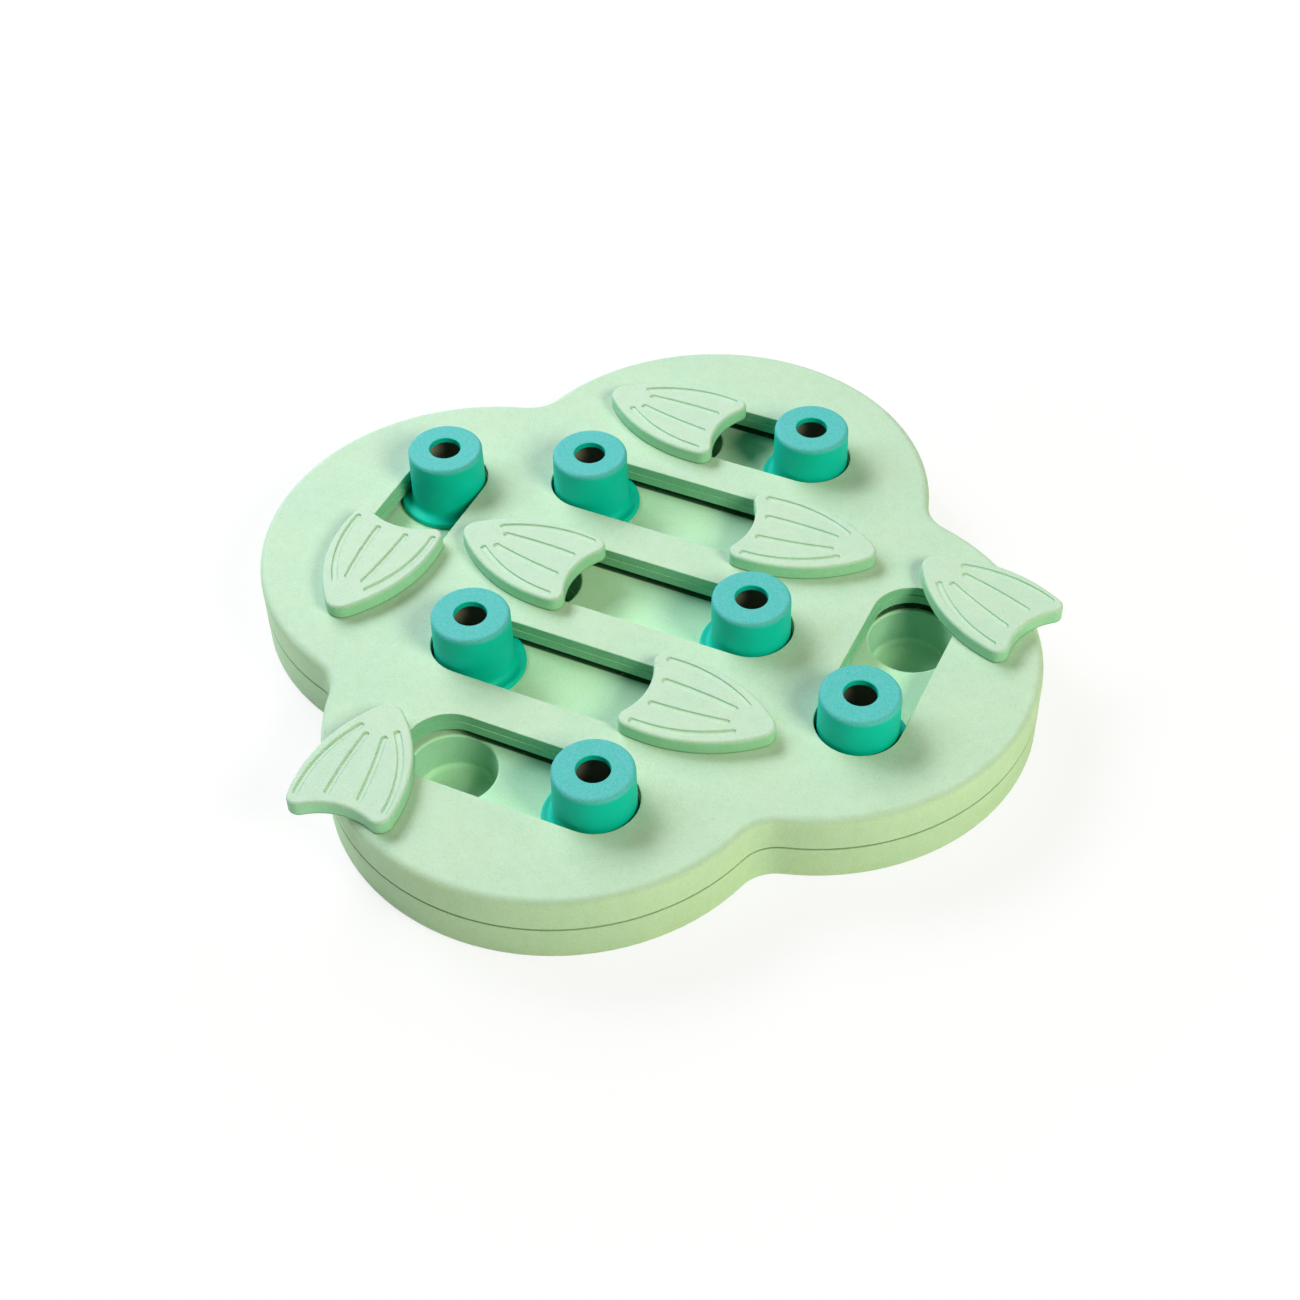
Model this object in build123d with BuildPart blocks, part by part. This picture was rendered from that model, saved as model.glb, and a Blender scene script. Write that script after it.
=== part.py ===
from build123d import *

import os
from math import cos, radians, sin, sqrt

# Puzzle feeder board: a four-lobed hollow board with seven slots.  Each slot links two wells.
# A peg slides along the slot over one well, and a swinging leaf covers the other one.
# Millimetres.  The origin is on the floor under the middle of the board, +Z up.

# --- board outline: four round lobes joined by filleted valleys ---
lobe_offset = 94.0
lobe_radius = 116.5
valley_round = 21.0

# --- board levels and walls ---
foot_proud = 0.8
board_height = 40.2
seam_drop = 19.4          # seam between the two shells, below the board's top
plate_thickness = 3.0
skirt_wall = 3.0
base_floor = 3.0
top_round = 4.2
bottom_round = 1.8
seam_bevel = 0.4
seam_gap = 0.4            # shadow line left open between the two skirts

plate_top = foot_proud + board_height
plate_under = plate_top - plate_thickness
seam_z = plate_top - seam_drop
floor_top = foot_proud + base_floor

# --- lap joint inside the seam ---
lip_thickness = 1.5
lip_rise = 2.4
lip_root = 4.0
lip_clearance = 0.15

# --- slots ---
row_pitch = 67.6
long_half = 61.7          # half the distance between the round ends' centres of a long slot
short_half = 39.6
slot_radius = 21.75
slot_depth = 10.3
slot_edge_round = 0.5
collar_wall = 2.4
band_proud = 0.5          # the lower half of the slot's wall stands a little proud
band_height = 5.0

collar_bottom = plate_top - slot_depth

# --- deck with its wells ---
deck_drop = 15.0
deck_thickness = 2.2
deck_edge_gap = 0.4
well_inset = 2.1          # each well stands this far in from its slot's round end
well_radius = 22.0
well_floor_radius = 20.0
well_round = 3.0
rim_round = 1.3
cup_wall = 2.0
cup_bottom = 2.2

deck_top = plate_top - deck_drop
deck_under = deck_top - deck_thickness
well_floor = floor_top + cup_bottom
deck_inset = skirt_wall + lip_clearance + lip_thickness + deck_edge_gap

# --- sliding peg ---
peg_radius = 20.0
peg_draft = 0.4
peg_rise = 20.6           # above the board's top
peg_wall = 2.6
peg_cap = 3.0
peg_top_round = 2.2
peg_hole_radius = 8.35
peg_hole_round = 0.6
flange_radius = 26.2
flange_thickness = 2.9
flange_gap = 0.3
flange_edge_round = 1.3
flange_root_round = 3.0

peg_root_radius = peg_radius + peg_draft
peg_bore = peg_radius - peg_wall
peg_top = plate_top + peg_rise
flange_bottom = deck_top + flange_gap
flange_top = flange_bottom + flange_thickness

# --- swinging leaf ---
leaf_gap = 0.4            # running gap above the board
leaf_thickness = 7.9
leaf_pivot_offset = 32.7  # from the centre of the slot's round end to the leaf's pin
leaf_nose_radius = 8.3
leaf_side_radius = 79.3
leaf_belly = 48.2         # widest place, from the pin
leaf_tail = 59.2          # middle of the hollow tail, from the pin
leaf_tail_radius = 35.3
leaf_corner_round = 6.0
leaf_top_round = 1.8
leaf_wall = 2.6

leaf_bottom = plate_top + leaf_gap
leaf_top = leaf_bottom + leaf_thickness
leaf_side_drop = sqrt((leaf_side_radius - leaf_nose_radius) ** 2 - leaf_belly ** 2)

# --- veins pressed into the leaf's top ---
vein_width = 3.2
vein_depth = 1.0
vein_edge_round = 0.4
vein_floor_round = 0.55
# Outer veins: distance along the leaf from the pin, and inset from the leaf's side.
rim_vein_start = (9.5, 6.6)
rim_vein_middle = (33.0, 5.6)
rim_vein_end = (57.0, 4.3)
# Inner veins: distance along the leaf from the pin, and distance from its middle line.
mid_vein_start = (14.5, 4.8)
mid_vein_middle = (33.0, 7.1)
mid_vein_end = (53.0, 8.2)

# --- leaf pin, washer and screw ---
pin_radius = 3.0
pin_clearance = 0.06
pin_end_play = 0.2
pin_root_radius = 6.5
pivot_boss_radius = 6.0
pivot_boss_drop = 5.0     # below the board's plate
washer_radius = 5.5
washer_thickness = 1.4
leaf_screw_radius = 1.45
leaf_screw_length = 7.0
leaf_screw_head_radius = 3.2
leaf_screw_head_height = 2.0
leaf_screw_head_round = 0.5
leaf_screw_tip_gap = 0.5  # hole left beyond the screw's tip
thread_clearance = 0.05

boss_bottom = plate_under - pivot_boss_drop
pin_bottom = boss_bottom - pin_end_play
washer_bottom = pin_bottom - washer_thickness

# --- case screws ---
case_boss_radius = 5.0
case_screw_radius = 1.5
case_screw_pass = 1.9
case_screw_head_radius = 3.3
case_screw_head_height = 2.4
case_head_clearance = 0.4
case_head_depth = 7.0     # head seat above the board's underside
case_screw_bite = 9.5     # thread engaged in the upper boss
case_screw_tip_gap = 1.0
cross_length = 4.0
cross_width = 0.9
cross_depth = 1.2
diagonal_screw = 98.0
lobe_screw = 186.0

case_seat = foot_proud + case_head_depth
case_screw_end = deck_top + case_screw_bite

# --- rubber feet ---
foot_radius = 7.5
foot_socket_depth = 1.2
foot_socket_clearance = 0.1
foot_edge_round = 0.5
foot_reach = 185.0
foot_spread = 45.0

# Each slot: centre, heading from the peg's home well to the leaf's well, half length, and the
# angle that the leaf stands open from the slot's line, anticlockwise seen from above.
slots = {
    1: ((-2 * row_pitch, 0.0), -90.0, short_half, 1.0),
    2: ((0.0, row_pitch), 0.0, long_half, 4.6),
    3: ((0.0, 2 * row_pitch), 180.0, short_half, -4.3),
    4: ((0.0, -row_pitch), 0.0, long_half, 0.0),
    5: ((0.0, 0.0), 180.0, long_half, -5.2),
    6: ((2 * row_pitch, 0.0), 90.0, short_half, 67.4),
    7: ((0.0, -2 * row_pitch), 180.0, short_half, -82.3),
}

case_screw_places = [
    (diagonal_screw, diagonal_screw),
    (-diagonal_screw, diagonal_screw),
    (-diagonal_screw, -diagonal_screw),
    (diagonal_screw, -diagonal_screw),
    (lobe_screw, 0.0),
    (0.0, lobe_screw),
    (-lobe_screw, 0.0),
    (0.0, -lobe_screw),
    (0.0, row_pitch / 2),
    (0.0, -row_pitch / 2),
]

foot_places = [(sx * foot_reach, sy * foot_spread) for sx in (1, -1) for sy in (1, -1)]
foot_places += [(sx * foot_spread, sy * foot_reach) for sx in (1, -1) for sy in (1, -1)]


def heading_plane(x, y, height, heading):
    """Level plane at a place, with its X axis along a heading in degrees."""
    turn = radians(heading)
    return Plane(origin=(x, y, height), x_dir=(cos(turn), sin(turn), 0), z_dir=(0, 0, 1))


def along_slot(slot, distance):
    """Point on a slot's centre line, measured from its middle towards the leaf's end."""
    (x, y), heading, _, _ = slots[slot]
    turn = radians(heading)
    return x + distance * cos(turn), y + distance * sin(turn)


def peg_home(slot):
    return along_slot(slot, -slots[slot][2])


def wells(slot):
    """Centres of the two wells, in from the slot's round ends."""
    reach = slots[slot][2] - well_inset
    return [along_slot(slot, -reach), along_slot(slot, reach)]


def leaf_pin(slot):
    return along_slot(slot, slots[slot][2] + leaf_pivot_offset)


def leaf_plane(slot, height):
    """Plane of a leaf: origin on its pin, X towards its tail."""
    _, heading, _, open_angle = slots[slot]
    return heading_plane(*leaf_pin(slot), height, heading + 180.0 + open_angle)


def board_outline(height, inset=0.0):
    with BuildSketch(Plane.XY.offset(height)) as outline:
        with PolarLocations(lobe_offset, 4):
            Circle(lobe_radius - inset)
        fillet(outline.vertices(), valley_round + inset)
    return outline.sketch


def slot_outline(slot, height, radius):
    (x, y), heading, half, _ = slots[slot]
    with BuildSketch(heading_plane(x, y, height, heading)) as outline:
        SlotCenterToCenter(2 * half, 2 * radius)
    return outline.sketch


def discs(places, height, radius):
    """Equal discs at a height, ready to extrude."""
    with BuildSketch(Plane.XY.offset(height)) as outline:
        with Locations(*places):
            Circle(radius)
    return outline.sketch


def leaf_outline(slot, height, inset=0.0):
    """Lens of two side arcs, a round nose on the pin and a hollow tail with round corners."""
    with BuildSketch(leaf_plane(slot, height)) as outline:
        with Locations((leaf_belly, -leaf_side_drop)):
            Circle(leaf_side_radius - inset)
        with Locations((leaf_belly, leaf_side_drop)):
            Circle(leaf_side_radius - inset, mode=Mode.INTERSECT)
        with Locations((leaf_tail + leaf_tail_radius, 0)):
            Circle(leaf_tail_radius + inset, mode=Mode.SUBTRACT)
        nose = outline.vertices().sort_by(Axis.X)[0]
        fillet(nose, leaf_nose_radius - inset)
        tail_corners = outline.vertices().sort_by(Axis.X)[-2:]
        fillet(tail_corners, leaf_corner_round - inset)
    return outline.sketch


def vein_outlines(slot, height):
    """Four veins: two follow the leaf's sides, two run beside its middle."""
    with BuildSketch(leaf_plane(slot, height)) as outline:
        for side in (1, -1):
            rim = []
            for x, inset in (rim_vein_start, rim_vein_middle, rim_vein_end):
                reach = leaf_side_radius - inset
                y = sqrt(reach ** 2 - (x - leaf_belly) ** 2) - leaf_side_drop
                rim.append((x, side * y))
            middle = [(x, side * y) for x, y in (mid_vein_start, mid_vein_middle, mid_vein_end)]
            for points in (rim, middle):
                with BuildLine():
                    ThreePointArc(*points)
                trace(line_width=vein_width)
                with Locations(points[0], points[-1]):
                    Circle(vein_width / 2)
    return outline.sketch


def peg_profile(x, y):
    """Half section of the hollow peg with its flange, in the upright plane through its axis."""
    with BuildSketch(Plane(origin=(x, y, 0), x_dir=(1, 0, 0), z_dir=(0, -1, 0))) as profile:
        with BuildLine():
            Polyline(
                (peg_hole_radius, peg_top),
                (peg_radius, peg_top),
                (peg_root_radius, flange_top),
                (flange_radius, flange_top),
                (flange_radius, flange_bottom),
                (peg_bore, flange_bottom),
                (peg_bore, peg_top - peg_cap),
                (peg_hole_radius, peg_top - peg_cap),
                close=True,
            )
        make_face()
        for radius, height, size in (
            (peg_radius, peg_top, peg_top_round),
            (peg_root_radius, flange_top, flange_root_round),
            (flange_radius, flange_top, flange_edge_round),
            (peg_hole_radius, peg_top, peg_hole_round),
        ):
            corner = profile.vertices().sort_by_distance((radius, height))[0]
            fillet(corner, size)
    return profile.sketch


def cup_profile(x, y, grow):
    """Half section of a well, or of its cup when grown by the cup's wall."""
    top = deck_top if grow == 0 else deck_under
    bottom = well_floor if grow == 0 else floor_top
    with BuildSketch(Plane(origin=(x, y, 0), x_dir=(1, 0, 0), z_dir=(0, -1, 0))) as profile:
        with BuildLine():
            Polyline(
                (0, bottom),
                (well_floor_radius + grow, bottom),
                (well_radius + grow, top),
                (0, top),
                close=True,
            )
        make_face()
        corner = profile.vertices().sort_by_distance((well_floor_radius + grow, bottom))[0]
        fillet(corner, well_round + grow)
    return profile.sketch


def write(builder, name):
    builder.part.label = name
    export_step(builder.part, f"parts/{name}.step")


os.makedirs("parts", exist_ok=True)

well_places = [place for slot in slots for place in wells(slot)]
pin_places = [leaf_pin(slot) for slot in slots]

# --- upper shell: plate, skirt, slot collars, pivot bosses and screw bosses in one moulding ---
with BuildPart() as top_shell:
    extrude(board_outline(seam_z), amount=plate_top - seam_z)
    fillet(top_shell.faces().sort_by(Axis.Z)[-1].edges(), top_round)
    chamfer(top_shell.faces().sort_by(Axis.Z)[0].edges(), seam_bevel)
    extrude(
        board_outline(seam_z, skirt_wall),
        amount=plate_under - seam_z,
        mode=Mode.SUBTRACT,
    )
    for slot in slots:
        collar = slot_outline(slot, collar_bottom, slot_radius + collar_wall)
        extrude(collar, amount=plate_under - collar_bottom)
    extrude(discs(pin_places, boss_bottom, pivot_boss_radius), amount=plate_under - boss_bottom)
    extrude(discs(case_screw_places, deck_top, case_boss_radius), amount=plate_under - deck_top)
    for slot in slots:
        band = slot_outline(slot, collar_bottom, slot_radius - band_proud)
        extrude(band, amount=slot_depth, mode=Mode.SUBTRACT)
        mouth = slot_outline(slot, collar_bottom + band_height, slot_radius)
        extrude(mouth, amount=slot_depth - band_height, mode=Mode.SUBTRACT)
    plate_face = top_shell.faces().filter_by(Axis.Z).sort_by(Axis.Z)[-1]
    for mouth_wire in plate_face.inner_wires():
        fillet(mouth_wire.edges(), slot_edge_round)
    extrude(
        discs(pin_places, boss_bottom, pin_radius + pin_clearance),
        amount=plate_top - boss_bottom,
        mode=Mode.SUBTRACT,
    )
    extrude(
        discs(case_screw_places, deck_top, case_screw_radius + thread_clearance),
        amount=case_screw_bite + case_screw_tip_gap,
        mode=Mode.SUBTRACT,
    )
write(top_shell, "top_shell")

# --- inner tray: the deck that the pegs slide on, with fourteen wells hanging from it ---
with BuildPart() as well_tray:
    extrude(board_outline(deck_under, deck_inset), amount=deck_thickness)
    for x, y in well_places:
        revolve(cup_profile(x, y, cup_wall), axis=Axis((x, y, 0), (0, 0, 1)))
    for x, y in well_places:
        revolve(cup_profile(x, y, 0), axis=Axis((x, y, 0), (0, 0, 1)), mode=Mode.SUBTRACT)
    deck_face = well_tray.faces().filter_by(Axis.Z).sort_by(Axis.Z)[-1]
    for rim in deck_face.inner_wires():
        fillet(rim.edges(), rim_round)
    extrude(
        discs(case_screw_places, deck_under, case_screw_pass),
        amount=deck_thickness,
        mode=Mode.SUBTRACT,
    )
write(well_tray, "well_tray")

# --- lower shell: floor, skirt with its lap lip, screw bosses and foot sockets ---
with BuildPart() as base_shell:
    extrude(board_outline(foot_proud), amount=seam_z - seam_gap - foot_proud)
    fillet(base_shell.faces().sort_by(Axis.Z)[0].edges(), bottom_round)
    chamfer(base_shell.faces().sort_by(Axis.Z)[-1].edges(), seam_bevel)
    extrude(
        board_outline(floor_top, skirt_wall),
        amount=seam_z - floor_top,
        mode=Mode.SUBTRACT,
    )
    lip_inner = skirt_wall + lip_clearance + lip_thickness
    extrude(board_outline(seam_z - lip_root, skirt_wall), amount=lip_root)
    extrude(board_outline(seam_z, skirt_wall + lip_clearance), amount=lip_rise)
    extrude(
        board_outline(seam_z - lip_root, lip_inner),
        amount=lip_root + lip_rise,
        mode=Mode.SUBTRACT,
    )
    extrude(discs(case_screw_places, floor_top, case_boss_radius), amount=deck_under - floor_top)
    extrude(
        discs(case_screw_places, foot_proud, case_screw_head_radius + case_head_clearance),
        amount=case_head_depth,
        mode=Mode.SUBTRACT,
    )
    extrude(
        discs(case_screw_places, case_seat, case_screw_pass),
        amount=deck_under - case_seat,
        mode=Mode.SUBTRACT,
    )
    extrude(
        discs(foot_places, foot_proud, foot_radius + foot_socket_clearance),
        amount=foot_socket_depth,
        mode=Mode.SUBTRACT,
    )
write(base_shell, "base_shell")

# --- seven pegs, each one moulding with the flange that keeps it under the plate ---
for slot in slots:
    x, y = peg_home(slot)
    with BuildPart() as peg:
        revolve(peg_profile(x, y), axis=Axis((x, y, 0), (0, 0, 1)))
    write(peg, f"peg_{slot}")

# --- seven swinging leaves, hollow below, each with its own pin ---
for slot in slots:
    with BuildPart() as leaf:
        extrude(leaf_outline(slot, leaf_bottom), amount=leaf_thickness)
        fillet(leaf.faces().sort_by(Axis.Z)[-1].edges(), leaf_top_round)
        extrude(
            leaf_outline(slot, leaf_bottom, leaf_wall),
            amount=leaf_thickness - leaf_wall,
            mode=Mode.SUBTRACT,
        )
        extrude(
            vein_outlines(slot, leaf_top - vein_depth),
            amount=vein_depth,
            mode=Mode.SUBTRACT,
        )
        top_face = leaf.faces().filter_by(Axis.Z).sort_by(Axis.Z)[-1]
        for vein_rim in top_face.inner_wires():
            fillet(vein_rim.edges(), vein_edge_round)
        vein_floors = leaf.faces().filter_by_position(
            Axis.Z, leaf_top - vein_depth, leaf_top - vein_depth
        )
        fillet(vein_floors.edges(), vein_floor_round)
        extrude(
            discs([leaf_pin(slot)], leaf_bottom, pin_root_radius),
            amount=leaf_thickness - leaf_wall,
        )
        extrude(discs([leaf_pin(slot)], pin_bottom, pin_radius), amount=leaf_bottom - pin_bottom)
        extrude(
            discs([leaf_pin(slot)], pin_bottom, leaf_screw_radius + thread_clearance),
            amount=leaf_screw_length + leaf_screw_tip_gap,
            mode=Mode.SUBTRACT,
        )
    write(leaf, f"leaf_{slot}")

# --- washer that keeps each leaf's pin in its boss ---
for slot in slots:
    with BuildPart() as washer:
        extrude(discs([leaf_pin(slot)], washer_bottom, washer_radius), amount=washer_thickness)
        extrude(
            discs([leaf_pin(slot)], washer_bottom, leaf_screw_radius + thread_clearance),
            amount=washer_thickness,
            mode=Mode.SUBTRACT,
        )
    write(washer, f"leaf_washer_{slot}")

# --- screw that holds each washer, driven up into the pin ---
for slot in slots:
    head_bottom = washer_bottom - leaf_screw_head_height
    with BuildPart() as leaf_screw:
        extrude(
            discs([leaf_pin(slot)], head_bottom, leaf_screw_head_radius),
            amount=leaf_screw_head_height,
        )
        fillet(leaf_screw.faces().sort_by(Axis.Z)[0].edges(), leaf_screw_head_round)
        extrude(
            discs([leaf_pin(slot)], washer_bottom, leaf_screw_radius),
            amount=washer_thickness + leaf_screw_length,
        )
    write(leaf_screw, f"leaf_screw_{slot}")

# --- screws that clamp the two shells and the tray together, driven up from below ---
with BuildPart() as case_screws:
    head_bottom = case_seat - case_screw_head_height
    extrude(
        discs(case_screw_places, head_bottom, case_screw_head_radius),
        amount=case_screw_head_height,
    )
    extrude(
        discs(case_screw_places, case_seat, case_screw_radius),
        amount=case_screw_end - case_seat,
    )
    with BuildSketch(Plane.XY.offset(head_bottom)) as crosses:
        with Locations(*case_screw_places):
            Rectangle(cross_length, cross_width)
            Rectangle(cross_width, cross_length)
    extrude(amount=cross_depth, mode=Mode.SUBTRACT)
write(case_screws, "case_screws")

# --- rubber feet in shallow sockets ---
with BuildPart() as rubber_feet:
    extrude(discs(foot_places, 0.0, foot_radius), amount=foot_proud + foot_socket_depth)
    fillet(rubber_feet.edges().group_by(Axis.Z)[0], foot_edge_round)
write(rubber_feet, "rubber_feet")
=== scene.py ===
"""Looks of the puzzle feeder board: moulded plastic finishes, studio light and camera."""
from math import cos, radians, sin

import bpy
from mathutils import Matrix, Vector


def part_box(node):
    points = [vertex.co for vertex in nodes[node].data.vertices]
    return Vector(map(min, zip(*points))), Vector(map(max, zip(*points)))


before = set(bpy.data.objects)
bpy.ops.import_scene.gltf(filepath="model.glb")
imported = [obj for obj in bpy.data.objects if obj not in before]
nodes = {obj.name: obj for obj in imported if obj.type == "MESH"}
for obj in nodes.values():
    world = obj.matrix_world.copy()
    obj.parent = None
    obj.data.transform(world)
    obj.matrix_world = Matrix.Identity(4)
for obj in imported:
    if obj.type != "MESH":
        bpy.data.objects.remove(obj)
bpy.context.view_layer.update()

scene = bpy.context.scene


def middle(name):
    """Middle of a node's box."""
    low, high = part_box(name)
    return (low + high) / 2


# --- sizes and places of the board, in metres ---
lobe_radius = 0.1165          # the board's outline is four round lobes about its middle
lobe_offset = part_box("top_shell")[1].x - lobe_radius
plate_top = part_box("top_shell")[1].z
seam_gap = 0.0004
seam_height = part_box("top_shell")[0].z - seam_gap / 2
deck_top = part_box("well_tray")[1].z
slot_radius = 0.02175
row_pitch = middle("peg_2").y
long_half = -middle("peg_2").x      # from a long slot's middle to the middle of its round end
short_half = middle("peg_3").x
peg_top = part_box("peg_1")[1].z
peg_cap = 0.003               # thickness of a peg's top
peg_bore = 0.0174             # radius of the hollow inside a peg
peg_hole = 0.00835            # radius of the hole in a peg's top
peg_hole_round = 0.0006
leaf_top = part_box("leaf_1")[1].z
leaf_gap = 0.0004
leaf_bottom = plate_top + leaf_gap
vein_depth = 0.001

# --- where the finishes begin and fade, in metres ---
skirt_inset = 0.006           # the skirt's colour, painted warm light, takes over from the slots' painted shade this far inside the outline
skirt_fade = 0.004
skirt_level = 0.026           # below this height the shells show only their skirt
skirt_level_fade = 0.002
plate_drop = 0.005            # faces that look up count as the plate within this drop of its top
plate_fade = 0.001
seam_reach = 0.0004           # painted shade line each side of the seam's middle
seam_fade = 0.0004
left_end_fade = 0.014         # light past the slots' left ends grows over this length
cross_reach = 0.012           # light beside the cross slots' walls
cross_fade = 0.004
cross_end_fade = 0.01
deck_skin = 0.0015            # depth below the deck's top that still counts as its top
deck_skin_fade = 0.0012
cover_start = 0.0003          # the painted shade under the plate begins this far inside the slot's edge
cover_fade = 0.0011
vein_start = 0.0005           # the vein walls' lighter painted shade begins this far below their floor
vein_fade = 0.0004
edge_start = 0.0002           # the painted contact shade along the leaf's lower edge fades upwards from here
edge_fade = 0.0007
rim_depth = 0.0034            # the painted sheen and scuffs run this far down from a peg's top
rim_full = 0.0003
bore_start = 0.0002           # the bore's painted shade reaches this far outside the hollow's wall
bore_fade = 0.0008
bore_depth = 0.0012           # and ends this far below the underside of the peg's top
bore_depth_fade = 0.001

# --- camera ---
image_width = 1300            # the frame that the focal length is given in
focal_pixels = 2121.8
sensor_width = 36.0           # millimetres
camera_heading = radians(26.09)
camera_dip = radians(45.42)
camera_roll = radians(-1.53)
camera_distance = 1.0953
aim_right = 0.0047            # the camera's axis passes this far beside the board's middle
aim_up = -0.0299


# --- colours ---
def white(level):
    return (level, level, level, 1.0)


def srgb(red, green, blue):
    """Linear colour of an sRGB colour given from 0 to 255."""
    def linear(value):
        value /= 255.0
        return value / 12.92 if value <= 0.04045 else ((value + 0.055) / 1.055) ** 2.4
    return (linear(red), linear(green), linear(blue), 1.0)


# Faces that look up are painted paler than the sides, as painted sheen; sides, wells and slot walls are
# painted deeper, as painted shade.
plate_green_and_painted_sheen = srgb(196, 221, 200)
skirt_green_painted_warm_light = srgb(198, 224, 188)
recess_painted_shade_green = srgb(140, 201, 164)
deck_green_and_painted_rim_highlight = srgb(198, 240, 207)
well_painted_shade_green = srgb(167, 214, 187)
leaf_green_and_painted_sheen = srgb(199, 222, 205)
leaf_side_painted_shade_green = srgb(162, 216, 177)
vein_wall_painted_shade_green = srgb(178, 218, 188)
fibre_pale = srgb(236, 248, 238)
peg_teal = srgb(0, 198, 180)
peg_green = srgb(0, 187, 160)
# These two colours paint a peg's paler top as painted sheen.
painted_sheen_teal = srgb(82, 187, 184)
painted_sheen_blue = srgb(108, 190, 201)
# Painted shade inside a peg's hollow.
bore_painted_shade_brown = srgb(165, 135, 120)
zinc_bright = srgb(170, 172, 176)
zinc_dull = srgb(122, 124, 128)
rubber_dark = srgb(46, 54, 50)
rubber_dusty = srgb(88, 96, 90)

# Shades multiply the colour under them.
patch_shade = (0.955, 0.985, 1.0, 1.0)
cloud_shade = (0.96, 0.975, 0.93, 1.0)
mottle_shade = (0.945, 0.965, 0.95, 1.0)
fibre_shade = (0.7, 0.82, 0.7, 1.0)
# The next three paint shade: in the seam, on the deck under the plate, and along the leaves' lower
# edges.
seam_painted_shade = (0.4, 0.52, 0.36, 1.0)
under_plate_painted_shade = (0.08, 0.16, 0.11, 1.0)
leaf_edge_painted_shade = (0.45, 0.6, 0.42, 1.0)
peg_speck_shade = (0.55, 0.8, 0.8, 1.0)

matt_roughness = 0.6
satin_roughness = 0.46
steel_roughness = 0.28
rubber_roughness = 0.75
top_slope = (0.35, 0.97)      # a rounded edge turns from its painted side colour into its painted top colour between these upward slopes


# --- shader expressions ---
class Signal:
    """A shader socket that takes part in Python arithmetic: each operator adds a Math node."""

    def __init__(self, finish, socket):
        self.finish = finish
        self.socket = socket

    def math(self, operation, *values):
        """Any other Math node, by its operation."""
        return self.finish.node("ShaderNodeMath", {"operation": operation}, inputs=(self, *values))

    def __add__(self, other):
        return self.math("ADD", other)

    def __sub__(self, other):
        return self.math("SUBTRACT", other)

    def __rsub__(self, other):
        return self.finish.node("ShaderNodeMath", {"operation": "SUBTRACT"}, inputs=(other, self))

    def __mul__(self, other):
        return self.math("MULTIPLY", other)

    def __pow__(self, other):
        return self.math("POWER", other)

    __radd__ = __add__
    __rmul__ = __mul__

    def span(self, low, high):
        """0 below low, 1 above high, smooth between."""
        return self.finish.node(
            "ShaderNodeMapRange",
            {"interpolation_type": "SMOOTHSTEP"},
            {"Value": self, "From Min": low, "From Max": high},
        )


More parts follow.
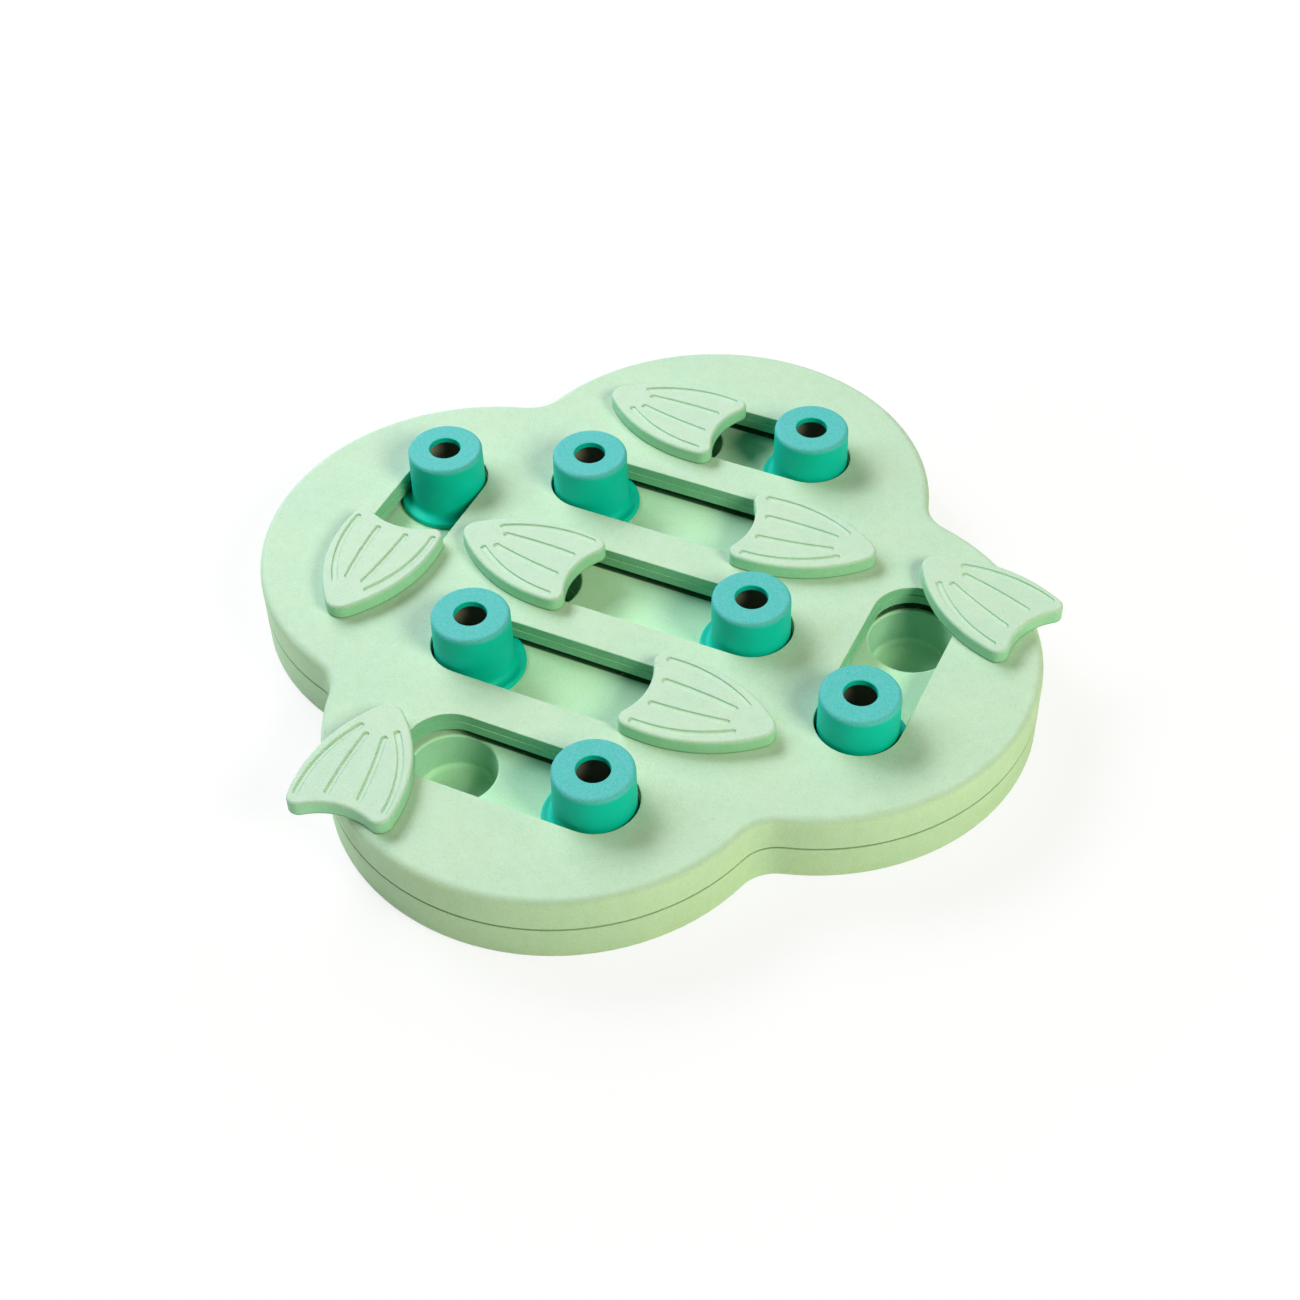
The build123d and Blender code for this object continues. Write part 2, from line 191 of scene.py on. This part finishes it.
class Finish:
    """One procedural material, or the world around the board, built up as expressions."""

    def __init__(self, name, kind="materials"):
        self.block = getattr(bpy.data, kind).new(name)
        self.block.use_nodes = True
        self.tree = self.block.node_tree
        self.tree.nodes.clear()
        self.place = self.node("ShaderNodeTexCoord", output="Object")
        self.facing = self.node("ShaderNodeTexCoord", output="Normal")

    def node(self, kind, settings=None, sockets=None, inputs=(), output=0):
        """Add a node: its settings first, then its sockets by name or in order."""
        added = self.tree.nodes.new(kind)
        for name, value in (settings or {}).items():
            setattr(added, name, value)
        targets = [(added.inputs[name], value) for name, value in (sockets or {}).items()]
        targets += list(zip(added.inputs, inputs))
        for socket, value in targets:
            if isinstance(value, Signal):
                self.tree.links.new(value.socket, socket)
            else:
                socket.default_value = value
        return Signal(self, added.outputs[output]) if len(added.outputs) else None

    def noise(self, size, detail=2.0, roughness=0.5, place=None):
        """Noise with blobs of about this size in metres."""
        sockets = {
            "Vector": place or self.place,
            "Scale": 1.0 / size,
            "Detail": detail,
            "Roughness": roughness,
        }
        return self.node("ShaderNodeTexNoise", {"noise_dimensions": "3D"}, sockets)

    def dots(self, size, reach, place=None):
        """Scattered dots in cells of this size: 1 at their middle, 0 from this share of it outwards."""
        core = reach * 0.4
        sockets = {"Vector": place or self.place, "Scale": 1.0 / size}
        cells = self.node("ShaderNodeTexVoronoi", {"feature": "F1"}, sockets, output="Distance")
        return 1.0 - cells.span(core, reach)

    def part_of(self, vector, axis):
        """One component of a vector."""
        return self.node("ShaderNodeSeparateXYZ", sockets={"Vector": vector}, output=axis)

    def along(self, axis):
        """Place along one axis, in metres."""
        return self.part_of(self.place, axis)

    def squeeze(self, scales, turn=0.0):
        """Place scaled along each axis, so that a pattern comes out drawn out, and turned about Z."""
        settings = {"vector_type": "POINT"}
        sockets = {"Vector": self.place, "Rotation": (0.0, 0.0, turn), "Scale": scales}
        return self.node("ShaderNodeMapping", settings, sockets)

    def mix(self, factor, low, high, blend="MIX"):
        """Mix two colours."""
        settings = {"data_type": "RGBA", "blend_type": blend}
        sockets = {0: factor, 6: low, 7: high}
        return self.node("ShaderNodeMix", settings, sockets, output=2)

    def tint(self, factor, colour, shade):
        """Multiply a colour by a shade, as far as the factor says."""
        return self.mix(factor, colour, shade, blend="MULTIPLY")

    def level(self, low, high):
        """How far a face looks up: 0 where the upward part of its normal is low, 1 where it is high."""
        return self.part_of(self.facing, "Z").span(low, high)

    def bump(self, height, depth, normal=None):
        """Bump of this depth in metres where the height signal runs from 0 to 1."""
        sockets = {"Height": height, "Strength": 1.0, "Distance": depth}
        if normal:
            sockets["Normal"] = normal
        return self.node("ShaderNodeBump", sockets=sockets)

    def skin(self, colour, roughness, normal=None, **constants):
        """Principled surface: varying sockets are linked and constants are set on the shader."""
        sockets = {"Base Color": colour, "Roughness": roughness}
        if normal:
            sockets["Normal"] = normal
        for name, value in constants.items():
            sockets[name.replace("_", " ")] = value
        surface = self.node("ShaderNodeBsdfPrincipled", sockets=sockets)
        self.node("ShaderNodeOutputMaterial", sockets={"Surface": surface})
        return self.block


# --- masks ---
def distance(across, along):
    """Length of the diagonal over two distances."""
    return (across * across + along * along) ** 0.5


def outside_of_board(finish):
    """1 on the board's outer skirt, 0 inside its outline: distance from the nearest lobe's middle."""
    x, y = finish.along("X").math("ABSOLUTE"), finish.along("Y").math("ABSOLUTE")
    from_lobe = distance(x.math("MAXIMUM", y) - lobe_offset, x.math("MINIMUM", y))
    start = lobe_radius - skirt_inset
    return from_lobe.span(start, start + skirt_fade)


def distance_from_slots(finish):
    """Distance from the middle line of the nearest slot, in metres."""
    x, y = finish.along("X").math("ABSOLUTE"), finish.along("Y").math("ABSOLUTE")
    past_end = (x.math("MINIMUM", y) - short_half).math("MAXIMUM", 0.0)
    from_lobe_slot = distance(x.math("MAXIMUM", y) - 2 * row_pitch, past_end)
    nearest_row = y.math("MINIMUM", (y - row_pitch).math("ABSOLUTE"))
    from_long_slot = distance(nearest_row, (x - long_half).math("MAXIMUM", 0.0))
    return from_lobe_slot.math("MINIMUM", from_long_slot)


def lit_under_plate(finish):
    """1 where light from the right reaches the deck under the plate: past the slots' left ends,
    and beside the straight walls of the two cross slots, which run along Y."""
    x, y = finish.along("X"), finish.along("Y").math("ABSOLUTE")
    outer_row = y.span(1.4 * row_pitch, 1.6 * row_pitch)
    half = long_half - outer_row * (long_half - short_half)
    past_left_end = (0.0 - x - half).span(0.0, left_end_fade)
    start = 2 * row_pitch - slot_radius - cross_reach
    beside_cross = x.math("ABSOLUTE").span(start, start + cross_fade)
    beside_cross = beside_cross * (1.0 - y.span(short_half, short_half + cross_end_fade))
    return past_left_end.math("MAXIMUM", beside_cross)


# --- finishes ---
def speckle(finish, colour):
    """Plant fibre in the plastic: an uneven tint, a mottled grain, and dark and pale specks."""
    patches = finish.noise(size=0.035, detail=2.0).span(0.35, 0.65)
    colour = finish.tint(patches, colour, patch_shade)
    clouds = finish.noise(size=0.007, detail=4.0).span(0.3, 0.7)
    colour = finish.tint(clouds, colour, cloud_shade)
    mottle = finish.noise(size=0.0013, detail=2.0).span(0.35, 0.65)
    colour = finish.tint(mottle, colour, mottle_shade)
    fibres = finish.dots(size=0.0016, reach=0.3, place=finish.squeeze((1.0, 2.4, 1.5), turn=0.6))
    chosen = finish.noise(size=0.003, detail=0.0).span(0.48, 0.56)
    colour = finish.tint(fibres * chosen, colour, fibre_shade)
    pale = finish.dots(size=0.0019, reach=0.28, place=finish.squeeze((2.0, 1.0, 1.5), turn=0.2))
    lit = finish.noise(size=0.0035, detail=0.0).span(0.5, 0.58)
    return finish.mix(pale * lit * 0.35, colour, fibre_pale)


def matt_skin(finish, colour):
    """Speckled matt surface with a fine moulded grain."""
    colour = speckle(finish, colour)
    grain = finish.noise(size=0.00035, detail=3.0, roughness=0.6)
    ripple = finish.noise(size=0.004, detail=1.0)
    rough = matt_roughness + grain * 0.18
    normal = finish.bump(grain, depth=0.00003)
    normal = finish.bump(ripple, depth=0.00005, normal=normal)
    return finish.skin(colour, rough, normal, Specular_IOR_Level=0.3)


def shell_plastic():
    """Both shells: a plate painted pale as painted sheen, a skirt painted warmer as painted warm light,
    painted shade along the seam, and slot walls painted deeper green as painted shade.
    """
    finish = Finish("shell_plastic")
    height = finish.along("Z")
    # Painted shade: the slot walls take the deeper recess green. The outer skirt is painted warmer as
    # painted warm light, and faces that look up near the plate's top paler as painted sheen.
    below_deck = 1.0 - height.span(skirt_level, skirt_level + skirt_level_fade)
    outside = outside_of_board(finish).math("MAXIMUM", below_deck)
    upright = finish.mix(outside, recess_painted_shade_green, skirt_green_painted_warm_light)
    start = plate_top - plate_drop
    high = height.span(start, start + plate_fade)
    plate = finish.level(*top_slope) * (0.16 + high * 0.84)
    colour = finish.mix(plate, upright, plate_green_and_painted_sheen)
    # Painted shade in the seam between the two shells.
    from_seam = (height - seam_height).math("ABSOLUTE")
    seam = 1.0 - from_seam.span(seam_reach, seam_reach + seam_fade)
    return matt_skin(finish, finish.tint(seam, colour, seam_painted_shade))


def tray_plastic():
    """The inner deck: painted pale on top and over the well rims as painted highlight, deeper down the
    wells as painted shade, and dark with painted shade where the plate covers it.
    """
    finish = Finish("tray_plastic")
    # Painted highlight: the deck's pale top colour runs down over the rounded well rims; the well walls
    # are painted deeper green as painted shade.
    colour = finish.mix(finish.level(0.05, 0.6), well_painted_shade_green, deck_green_and_painted_rim_highlight)
    # Painted shade on the deck's top where the plate covers it, lifted where light from the right
    # reaches in.
    skin_start = deck_top - deck_skin
    deck = finish.along("Z").span(skin_start, skin_start + deck_skin_fade)
    start = slot_radius - cover_start
    painted_shade_under_plate = distance_from_slots(finish).span(start, start + cover_fade)
    painted_shade_under_plate = painted_shade_under_plate * (1.0 - lit_under_plate(finish) * 0.9)
    return matt_skin(finish, finish.tint(deck * painted_shade_under_plate, colour, under_plate_painted_shade))


def leaf_plastic():
    """The leaves: painted pale on top as painted sheen, painted deeper at the sides as painted shade
    and less deep in the veins, with painted contact shade at the lower edge.
    """
    finish = Finish("leaf_plastic")
    height = finish.along("Z")
    # Painted shade: the sides are deeper green and the vein walls less so; faces that look up are
    # painted paler as painted sheen.
    start = leaf_top - vein_depth - vein_start
    veins = height.span(start, start + vein_fade)
    upright = finish.mix(veins, leaf_side_painted_shade_green, vein_wall_painted_shade_green)
    colour = finish.mix(finish.level(*top_slope), upright, leaf_green_and_painted_sheen)
    # Painted contact shade along the leaf's lower edge, just above the plate.
    edge = 1.0 - height.span(leaf_bottom + edge_start, leaf_bottom + edge_start + edge_fade)
    above_pin = height.span(leaf_bottom - leaf_gap, leaf_bottom - leaf_gap / 2)
    edge = edge * finish.level(-0.9, -0.5) * above_pin
    return matt_skin(finish, finish.tint(edge, colour, leaf_edge_painted_shade))


def peg_plastic(name):
    """Teal plastic: satin sides, a top painted paler as painted sheen with scuffs, and a bore painted
    darker brown as painted shade.
    """
    finish = Finish(name + "_plastic")
    height = finish.along("Z")
    axis = middle(name)
    from_axis = distance(finish.along("X") - axis.x, finish.along("Y") - axis.y)
    # Painted sheen: the top is painted paler and bluer, streaked with scuffs.
    top = height.span(peg_top - rim_depth, peg_top - rim_full)
    top = top * from_axis.span(peg_hole, peg_hole + peg_hole_round)
    clouds = finish.noise(size=0.012, detail=3.0).span(0.3, 0.7)
    colour = finish.mix(clouds * 0.5, peg_teal, peg_green)
    scuffs = finish.noise(size=0.0011, detail=4.0, place=finish.squeeze((1.0, 5.0, 1.0), turn=0.9))
    wear_and_painted_sheen = top * (0.86 + scuffs.span(0.4, 0.7) * 0.14)
    sheen_mottle = finish.noise(size=0.0009, detail=3.0, roughness=0.6).span(0.38, 0.62)
    colour = finish.mix(wear_and_painted_sheen, colour, finish.mix(sheen_mottle, painted_sheen_teal, painted_sheen_blue))
    chosen = finish.noise(size=0.0024, detail=0.0).span(0.5, 0.58)
    specks = finish.dots(size=0.0013, reach=0.26) * chosen * top
    colour = finish.tint(specks, colour, peg_speck_shade)
    # Painted shade inside the hollow: the bore is painted a darker brown.
    wall = peg_bore + bore_start
    inside = 1.0 - from_axis.span(wall, wall + bore_fade)
    ceiling = peg_top - peg_cap - bore_depth
    bore = inside * (1.0 - height.span(ceiling, ceiling + bore_depth_fade))
    colour = finish.mix(bore * 0.8, colour, bore_painted_shade_brown)
    grain = finish.noise(size=0.0004, detail=3.0)
    rough = satin_roughness + grain * 0.12 + wear_and_painted_sheen * 0.1 + bore * 0.3
    normal = finish.bump(grain, depth=0.00002)
    return finish.skin(colour, rough, normal, Specular_IOR_Level=0.12)


def zinc_steel():
    """Zinc-plated screws and washers with fine drawn-out streaks."""
    finish = Finish("zinc_plated_steel")
    streaks = finish.noise(size=0.0006, detail=3.0, place=finish.squeeze((1.0, 8.0, 1.0)))
    colour = finish.mix(streaks * 0.6, zinc_bright, zinc_dull)
    rough = steel_roughness + streaks * 0.2
    return finish.skin(colour, rough, finish.bump(streaks, depth=0.00001), Metallic=1.0)


def foot_rubber():
    """Dark rubber feet with dust on them."""
    finish = Finish("foot_rubber")
    dust = finish.noise(size=0.004, detail=4.0).span(0.45, 0.75)
    colour = finish.mix(dust * 0.5, rubber_dark, rubber_dusty)
    grain = finish.noise(size=0.0005, detail=2.0)
    rough = rubber_roughness + dust * 0.15
    return finish.skin(colour, rough, finish.bump(grain, depth=0.00004))


def dress(prefix, material):
    """Give every CAD node whose name starts with a prefix its finish."""
    for name, piece in nodes.items():
        if name.startswith(prefix):
            piece.data.materials.clear()
            piece.data.materials.append(material)


shells = shell_plastic()
dress("top_shell", shells)
dress("base_shell", shells)
dress("well_tray", tray_plastic())
dress("leaf_", leaf_plastic())
for name in nodes:
    if name.startswith("peg_"):
        dress(name, peg_plastic(name))
steel = zinc_steel()
for fastener in ("leaf_washer_", "leaf_screw_", "case_screws"):
    dress(fastener, steel)
dress("rubber_feet", foot_rubber())


# --- floor ---
floor_reach = 80.0
floor_paint = 0.95
floor_glow = 0.82             # share of plain white that the camera sees beside the board
shadow_reach = (0.22, 0.42)   # the board's shadow fades between these distances from its middle


def pale_floor():
    """Painted floor that takes the shadow, plain white to the camera further off."""
    finish = Finish("pale_floor")
    paint = finish.node("ShaderNodeBsdfDiffuse", sockets={"Color": white(floor_paint)})
    glow = finish.node("ShaderNodeEmission", sockets={"Color": white(1.0), "Strength": 1.0})
    seen = finish.node("ShaderNodeLightPath", output="Is Camera Ray")
    away = distance(finish.along("X"), finish.along("Y")).span(*shadow_reach)
    share = seen * (floor_glow + away * (1.0 - floor_glow))
    surface = finish.node("ShaderNodeMixShader", sockets={0: share, 1: paint, 2: glow})
    finish.node("ShaderNodeOutputMaterial", sockets={"Surface": surface})
    return finish.block


def floor_sheet(reach):
    """Square floor that reaches this far each way."""
    mesh = bpy.data.meshes.new("studio_floor")
    corners = [(-reach, -reach, 0), (reach, -reach, 0), (reach, reach, 0), (-reach, reach, 0)]
    mesh.from_pydata(corners, [], [(0, 1, 2, 3)])
    mesh.materials.append(pale_floor())
    sheet = bpy.data.objects.new("studio_floor", mesh)
    scene.collection.objects.link(sheet)


floor_sheet(floor_reach)


# --- light ---
lamp_distance = 2.2
lamp_size = 0.8
air_colour = (0.97, 1.0, 0.98, 1.0)
air_strength = 0.03


def softbox(name, heading, height, power, colour):
    """Square lamp aimed at the board. Heading is measured from +X, height above the floor."""
    turn, rise = radians(heading), radians(height)
    direction = Vector((cos(turn) * cos(rise), sin(turn) * cos(rise), sin(rise)))
    lamp = bpy.data.lights.new(name, "AREA")
    lamp.shape = "SQUARE"
    lamp.size = lamp_size
    lamp.energy = power
    lamp.color = colour
    holder = bpy.data.objects.new(name, lamp)
    holder.matrix_world = direction.to_track_quat("Z", "Y").to_matrix().to_4x4()
    holder.location = direction * lamp_distance
    scene.collection.objects.link(holder)


softbox("left_lamp", heading=184.0, height=34.0, power=15.0, colour=(0.74, 0.93, 0.95))
softbox("back_lamp", heading=138.0, height=34.0, power=19.0, colour=(0.97, 0.9, 0.92))
softbox("high_lamp", heading=161.0, height=45.0, power=23.5, colour=(0.93, 0.99, 1.0))
softbox("front_lamp", heading=-19.0, height=39.0, power=35.0, colour=(0.97, 0.97, 0.74))


def studio_air():
    """Faint even light from all around, behind which the camera sees plain white."""
    finish = Finish("studio_air", "worlds")
    air = finish.node("ShaderNodeBackground", sockets={"Color": air_colour, "Strength": air_strength})
    backdrop = finish.node("ShaderNodeBackground", sockets={"Color": white(1.0), "Strength": 1.0})
    seen = finish.node("ShaderNodeLightPath", output="Is Camera Ray")
    surface = finish.node("ShaderNodeMixShader", sockets={0: seen, 1: air, 2: backdrop})
    finish.node("ShaderNodeOutputWorld", sockets={"Surface": surface})
    return finish.block


scene.world = studio_air()

# --- camera placement ---
level_right = Vector((cos(camera_heading), sin(camera_heading), 0.0))
level_ahead = Vector((-sin(camera_heading), cos(camera_heading), 0.0))
ahead = level_ahead * cos(camera_dip) - Vector((0, 0, sin(camera_dip)))
upright = level_ahead * sin(camera_dip) + Vector((0, 0, cos(camera_dip)))
right = level_right * cos(camera_roll) + upright * sin(camera_roll)
up = upright * cos(camera_roll) - level_right * sin(camera_roll)
board_top = Vector((0.0, 0.0, plate_top))
eye = board_top - ahead * camera_distance + right * aim_right + up * aim_up
lens = bpy.data.cameras.new("studio_camera")
lens.sensor_fit = "HORIZONTAL"
lens.sensor_width = sensor_width
lens.lens = sensor_width * focal_pixels / image_width
camera = bpy.data.objects.new("studio_camera", lens)
camera.matrix_world = Matrix.Translation(eye) @ Matrix((right, up, -ahead)).transposed().to_4x4()
scene.collection.objects.link(camera)
scene.camera = camera
scene.view_settings.view_transform = "Standard"
